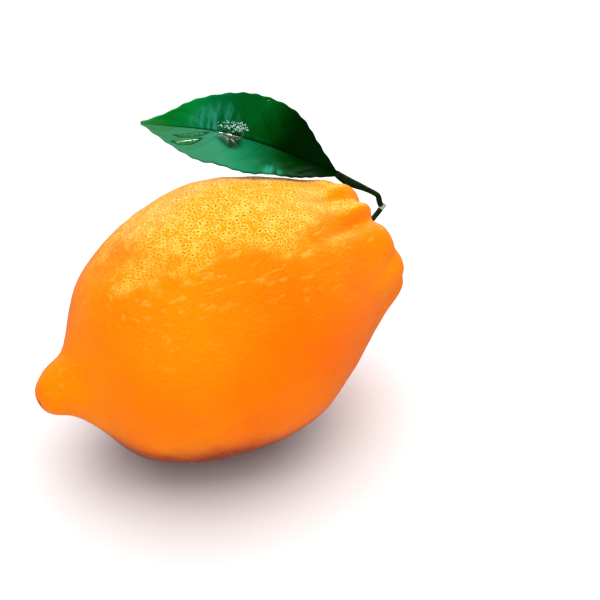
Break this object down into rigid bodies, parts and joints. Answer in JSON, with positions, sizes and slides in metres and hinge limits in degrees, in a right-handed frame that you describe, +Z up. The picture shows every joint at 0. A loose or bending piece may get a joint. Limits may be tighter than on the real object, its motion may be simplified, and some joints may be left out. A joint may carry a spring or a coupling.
{
  "type": "lemon",
  "caption": "Ripe lemon with a pebbled orange-yellow rind, a bent nipple and a furrowed stem collar, picked with a short twig and a folded green leaf, lying on its side",
  "frame": {"origin": "the middle of the small flat spot of the rind that the lemon rests on, on the table's surface", "axes": "+Z up from the table; +X along the fruit towards its stem end, level; +Y across the fruit, to the side that the leaf leans to"},
  "size_m": [0.0929, 0.0633, 0.0769],
  "materials": {
    "rind": "waxy orange-yellow rind with fine oil-gland pits and a soft sheen",
    "calyx": "dry green-brown button, matt",
    "twig": "dark green bark with a pale cut end",
    "petiole": "dark green leaf stalk, faintly glossy",
    "leaf": "deep green and glossy above with a sunken midrib, paler and duller below",
    "water": "clear water drops that lie on the leaf"
  },
  "bodies": {
    "root": {"fruit": "rind", "calyx": "calyx", "twig": "twig", "petiole": "petiole", "leaf_blade": "leaf"}
  },
  "joints": []
}
